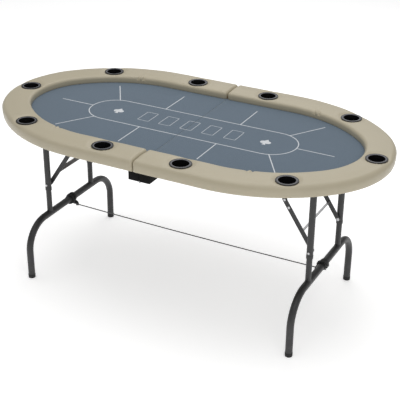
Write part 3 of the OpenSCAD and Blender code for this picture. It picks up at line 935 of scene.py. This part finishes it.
class PokerRails(bpy.types.Operator):
    """Adds the padded rail of each half"""

    bl_idname = "poker.rails"
    bl_label = "Padded rails"

    def stations(self):
        """[outer edge, outward, width, worn] from the fold line round to the fold line."""
        sizes = bpy.context.scene.poker_rail
        made = []
        for i in range(7):
            a = math.pi / 2 * i / 6
            x = sizes.gap + sizes.end_rounding * (1 - math.cos(a))
            made.append((Vector((x, HALF_W)), Vector((0, 1)), sizes.width,
                         sizes.end_rounding * (1 - math.sin(a))))
        step, pucker_reach, narrowing = 0.009, 0.030, 1.15
        edge = edge_stations(step)
        for i in range(len(edge) - 1, 0, -1):
            (a, out_a), (b, out_b) = edge[i - 1], edge[i]
            if abs((a - sizes.width * out_a).x - sizes.pucker_x) < pucker_reach:
                edge[i:i] = [(a.lerp(b, k / 4), out_a.lerp(out_b, k / 4).normalized()) for k in (1, 2, 3)]
        for point, out in edge:
            over = max(point.x - sizes.straight, 0) / (HALF_L - sizes.straight)
            width = sizes.width + (sizes.end_width - sizes.width) * min(over * narrowing, 1)
            made.append((point, out, width, 0.0))
        for point, out, width, worn in made[-2::-1]:
            made.append((Vector((point.x, -point.y)), Vector((out.x, -out.y)), width, worn))
        return made

    def puckered(self, x, inset, width):
        """How far the cover pulls in at an inner-edge pucker."""
        sizes = bpy.context.scene.poker_rail
        near = (x - sizes.pucker_x) / 0.0050
        folds = (math.exp(-near ** 2) + 0.8 * math.exp(-(near + 4.6) ** 2)
                 - 0.4 * math.exp(-(near + 2.3) ** 2))
        reach = max(0.0, 1 - (width - inset) / 0.044)
        return sizes.pucker * folds * reach

    def execute(self, context):
        cups = cup_places()
        hole_r = 0.0372
        stations = self.stations()
        points = []
        for point, out, width, worn in stations:
            ring = rail_section(width, worn)
            for inset, height in ring:
                spot = point - inset * out
                p = Vector((spot.x, spot.y, height))
                if height > CLOTH_TOP and inset < width:
                    pull = self.puckered(spot.x + (width - inset) * 0.2, inset, width)
                    lift = min((height - CLOTH_TOP) / 0.015, 1)
                    p -= Vector((-out.x * pull * 0.8, -out.y * pull * 0.8, pull)) * lift
                points.append(settle_padding(p, cups))
        rail = mesh_piece("right_padded_rail", points, loft_faces(len(stations), len(ring)))

        cutters = []
        for c in cups:
            deselect_all()
            bpy.ops.mesh.primitive_cylinder_add(
                vertices=64, radius=hole_r, depth=0.08, location=(c.x, c.y, RAIL_TOP - 0.02))
            cutters.append(bpy.context.object)
        cutter = join_pieces(cutters, "cup_cutter")
        settle(cutter)
        apply_modifier(rail, "BOOLEAN", object=cutter, operation="DIFFERENCE", solver="EXACT")
        remove(cutter)
        face_outwards(rail)
        smooth(rail, 42)
        left = copy_piece(rail, "left_padded_rail", MIRROR_X)
        for side, piece in (("right", rail), ("left", left)):
            place(piece, f"{side}_half", "vinyl", "vinyl", f"{side}_rail_cover", f"{side}_rail_foam")
        return {"FINISHED"}


# ---- cloth, cups and blocks ----


class PokerCloths(bpy.types.Operator):
    """Adds the printed playing cloth of each half"""

    bl_idname = "poker.cloths"
    bl_label = "Playing cloths"

    def execute(self, context):
        inset, corner = 0.1205, 0.0009
        low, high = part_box("right_playing_cloth")
        edge = [p - inset * out for p, out in edge_stations(0.012)]
        start = Vector((low[0], edge[0].y))
        upper = [start] + edge
        outline = upper + [Vector((p.x, -p.y)) for p in reversed(upper[:-1])]
        area = abs(sum(a.x * b.y - b.x * a.y for a, b in zip(outline, outline[1:] + outline[:1]))) / 2
        n = len(outline)
        points = [(p.x, p.y, z) for z in (CLOTH_BOTTOM, CLOTH_TOP) for p in outline]
        faces = [tuple(range(n)), tuple(range(n, 2 * n))]
        faces += [(i, (i + 1) % n, n + (i + 1) % n, n + i) for i in range(n)]
        cloth = mesh_piece("right_printed_cloth", points, faces)
        activate(cloth)
        edit()
        choose("EDGE", lambda e: all(
            abs(v.co.x - low[0]) < 1e-5 and v.co.z > CLOTH_TOP - 1e-5 for v in e.verts))
        bpy.ops.mesh.bevel(offset=corner, segments=3, profile=0.5)
        end_edit()
        smooth(cloth, 35)
        left = copy_piece(cloth, "left_printed_cloth", MIRROR_X)
        for side, piece in (("right", cloth), ("left", left)):
            place(piece, f"{side}_half", "cloth", "cloth", f"{side}_playing_cloth")
        return {"FINISHED"}


class PokerCups(bpy.types.Operator):
    """Adds the flanged cup holders"""

    bl_idname = "poker.cups"
    bl_label = "Cup holders"

    def execute(self, context):
        low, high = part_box("right_cup_1")
        top, bottom = high[2], low[2]
        lip_r, bore_r, body_r, floor_t = 0.0460, 0.0345, 0.0365, 0.002
        flat_inset = 0.0062
        taper = (0.965, 0.965, 1)
        lip_h = top - RAIL_TOP
        deselect_all()
        bpy.ops.mesh.primitive_cylinder_add(
            vertices=72, radius=lip_r, depth=lip_h, location=(0, 0, top - lip_h / 2))
        model = name_piece("cup_model")
        settle(model)
        edit()
        choose("FACE", lambda f: f.normal.z > 0.9)
        bpy.ops.mesh.inset(thickness=flat_inset)
        bpy.ops.mesh.inset(thickness=lip_r - bore_r - flat_inset)
        bpy.ops.mesh.extrude_region_move(TRANSFORM_OT_translate={"value": (0, 0, bottom + floor_t - top)})
        bpy.ops.transform.resize(value=taper)
        bpy.ops.mesh.inset(thickness=0.012)
        bpy.ops.transform.translate(value=(0, 0, 0.0006))
        choose("FACE", lambda f: f.normal.z < -0.9 and f.calc_center_median().z > RAIL_TOP - 0.001)
        bpy.ops.mesh.inset(thickness=lip_r - body_r)
        bpy.ops.mesh.extrude_region_move(TRANSFORM_OT_translate={"value": (0, 0, bottom - RAIL_TOP)})
        bpy.ops.transform.resize(value=taper)

        def sharp_ring(e):
            """The lip's outer and inner edges, and the edges of the floor."""
            a, b = (v.co for v in e.verts)
            if abs(a.z - b.z) > 1e-5:
                return False
            r = math.hypot(a.x, a.y)
            at_lip = a.z > top - 1e-4 and (r > lip_r - 0.0005 or r < bore_r + 0.0003)
            return at_lip or a.z < bottom + floor_t + 0.0002 and r > 0.030

        choose("EDGE", sharp_ring)
        bpy.ops.mesh.bevel(offset=0.0014, segments=4, profile=0.5)
        end_edit()
        smooth(model, 38)
        ring_r = lip_r - flat_inset - 0.0002
        for side in SIDES:
            for i, centre in enumerate(cup_places(side), 1):
                middle = Matrix.Translation((centre.x, centre.y, 0))
                cup = copy_piece(model, f"{side}_cup_holder_{i}", middle)
                place(cup, f"{side}_half", "cup", "cup", f"{side}_cup_{i}")
                cup.data.materials.append(material("lip"))
                for face in cup.data.polygons:
                    rim = face.center.z > top - 0.0016 and (face.center.xy - centre).length < ring_r
                    face.material_index = 1 if rim else 0
        remove(model)
        return {"FINISHED"}


class PokerHingeBlocks(bpy.types.Operator):
    """Adds the bevelled hinge blocks under the fold"""

    bl_idname = "poker.hinge_blocks"
    bl_label = "Hinge blocks"

    def execute(self, context):
        low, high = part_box("right_hinge_blocks")
        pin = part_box("hinge_pins")
        pin_z = (pin[0][2] + pin[1][2]) / 2
        block_y, pin_room = 0.067, 0.0058
        size = Vector((high[0] - low[0], block_y, high[2] - low[2]))
        deselect_all()
        bpy.ops.mesh.primitive_cube_add(size=1, location=(
            (low[0] + high[0]) / 2, high[1] - block_y / 2, (low[2] + high[2]) / 2))
        model = name_piece("block_model")
        model.scale = size
        settle(model)
        edit()
        choose("EDGE", lambda e: True)
        bpy.ops.mesh.bevel(offset=0.0014, segments=2, profile=0.6)
        end_edit()
        deselect_all()
        bpy.ops.mesh.primitive_cylinder_add(
            vertices=32, radius=pin_room, depth=0.2, rotation=(math.pi / 2, 0, 0),
            location=(0, high[1] - block_y / 2, pin_z))
        cutter = bpy.context.object
        settle(cutter)
        apply_modifier(model, "BOOLEAN", object=cutter, operation="DIFFERENCE", solver="EXACT")
        remove(cutter)
        face_outwards(model)
        for side, sign in SIDES.items():
            pair = [copy_piece(model, "block", Matrix.Diagonal((sign, end, 1, 1))) for end in (1, -1)]
            blocks = join_pieces(pair, f"{side}_painted_blocks")
            face_outwards(blocks)
            smooth(blocks, 30)
            place(blocks, f"{side}_half", "block", "block", f"{side}_hinge_blocks")
        remove(model)
        return {"FINISHED"}


# ---- legs ----


class PokerLegDetails(bpy.types.Operator):
    """Adds weld beads and rounded foot caps to the legs"""

    bl_idname = "poker.leg_details"
    bl_label = "Leg details"

    def weld_bead(self, centre):
        """A rippled bead where a stem along Z stands on the crossbar along Y."""
        deselect_all()
        bpy.ops.mesh.primitive_torus_add(
            major_radius=STEM_R + 0.0004, minor_radius=0.0019, major_segments=64, minor_segments=8)
        bead = name_piece("bead")
        for v in bead.data.vertices:
            x = min(abs(v.co.x), TUBE_R - 0.0004)
            ripple = 1 + 0.10 * math.sin(26 * math.atan2(v.co.y, v.co.x))
            v.co.z = v.co.z * ripple + math.sqrt(TUBE_R ** 2 - x ** 2)
        bead.data.transform(Matrix.Translation(centre))
        return bead

    def foot_cap(self):
        """A cap standing on the floor, hollow from above, its sole drawn in a little."""
        deselect_all()
        low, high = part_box("right_foot_caps")
        cap_r = (high[0] - low[0]) / 2
        cap_h = high[2] - low[2]
        sole_t, drawn_h = 0.0042, 0.003
        bpy.ops.mesh.primitive_cylinder_add(
            vertices=48, radius=cap_r, depth=cap_h, location=(0, 0, cap_h / 2))
        cap = name_piece("foot_cap_model")
        settle(cap)
        edit()
        choose("FACE", lambda f: f.normal.z > 0.9)
        bpy.ops.mesh.inset(thickness=cap_r - TUBE_R - 0.0001)
        bpy.ops.mesh.extrude_region_move(TRANSFORM_OT_translate={"value": (0, 0, sole_t - cap_h)})
        choose("EDGE", lambda e: abs(e.verts[0].co.z - e.verts[1].co.z) < 1e-6
               and math.hypot(*e.verts[0].co.xy) > cap_r - 0.0001)
        bpy.ops.mesh.bevel(offset=0.0007, segments=3, profile=0.5)
        end_edit()
        for v in cap.data.vertices:
            if v.co.z < drawn_h:
                drawn = 1 - 0.05 * (1 - v.co.z / drawn_h) ** 2
                v.co.x *= drawn
                v.co.y *= drawn
        return cap

    def execute(self, context):
        cap = self.foot_cap()
        cap_low, cap_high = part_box("right_foot_caps")
        foot_y = cap_high[1] - (cap_high[0] - cap_low[0]) / 2
        for side, sign in SIDES.items():
            caps = [copy_piece(cap, "cap", Matrix.Translation((sign * LEG_X, end * foot_y, 0)))
                    for end in (1, -1)]
            caps = join_pieces(caps, f"{side}_rubber_caps")
            face_outwards(caps)
            smooth(caps, 35)
            place(caps, f"{side}_foot", "cap", "foot_rubber", f"{side}_foot_caps")
            beads = [self.weld_bead((sign * LEG_X, end * UPRIGHT_Y, CROSSBAR_Z)) for end in (1, -1)]
            beads = join_pieces(beads, f"{side}_stem_welds")
            smooth(beads, 60)
            place(beads, f"{side}_foot", "tube", "leg_paint")
        remove(cap)
        return {"FINISHED"}


class PokerFinishes(bpy.types.Operator):
    """Gives the frame's own pieces their finishes"""

    bl_idname = "poker.finishes"
    bl_label = "Frame finishes"

    def execute(self, context):
        kinds = {
            "top_panel": "board", "underlay": "foam", "rail_core": "core", "hinge_leaves": "steel",
            "leg_saddles": "bracket", "brace_hangers": "bracket", "hanger_rivets": "bracket",
            "underside_screws": "steel", "upper_leg_frame": "tube", "sleeve_collars": "tube",
            "clamp_screws": "steel", "brace_studs": "steel", "lower_leg_frame": "tube",
            "lower_brace_links": "tube", "brace_spreader": "steel", "link_rivets": "steel",
            "upper_brace_links": "tube", "knee_rivets": "steel",
        }
        wanted = {f"{side}_{kind}": finish for side in SIDES for kind, finish in kinds.items()}
        wanted["hinge_pins"] = "steel"
        for name, finish in wanted.items():
            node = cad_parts[name]
            node.data.materials.clear()
            node.data.materials.append(material(finish))
        return {"FINISHED"}


# ---- panel and registration ----

OPERATORS = (PokerStage, PokerCord, PokerStraps, PokerRails, PokerCloths, PokerCups, PokerHingeBlocks,
             PokerLegDetails, PokerFinishes)
GROUPS = {"poker_rail": RailSizes, "poker_cloth": ClothSizes, "poker_frame": FrameColours,
          "poker_cord": CordSizes}


class PokerPanel(bpy.types.Panel):
    """Lists the table's sizes, colours and pieces"""

    bl_idname = "VIEW3D_PT_poker_table"
    bl_label = "Poker Table"
    bl_space_type = "VIEW_3D"
    bl_region_type = "UI"
    bl_category = "Poker Table"

    def draw(self, context):
        for name, group in GROUPS.items():
            box = self.layout.box()
            for key in group.__annotations__:
                box.prop(getattr(context.scene, name), key)
        for operator in OPERATORS:
            self.layout.operator(operator.bl_idname)


def register():
    for kind in (*GROUPS.values(), *OPERATORS, PokerPanel):
        bpy.utils.register_class(kind)
    for name, group in GROUPS.items():
        setattr(bpy.types.Scene, name, PointerProperty(type=group))


def unregister():
    for name in GROUPS:
        delattr(bpy.types.Scene, name)
    for kind in (PokerPanel, *reversed(OPERATORS), *reversed(tuple(GROUPS.values()))):
        bpy.utils.unregister_class(kind)


def main():
    register()
    bpy.ops.poker.stage()
    bpy.ops.poker.cord()
    bpy.ops.poker.straps()
    bpy.ops.poker.rails()
    bpy.ops.poker.cloths()
    bpy.ops.poker.cups()
    bpy.ops.poker.hinge_blocks()
    bpy.ops.poker.leg_details()
    bpy.ops.poker.finishes()


if __name__ == "__main__":
    main()
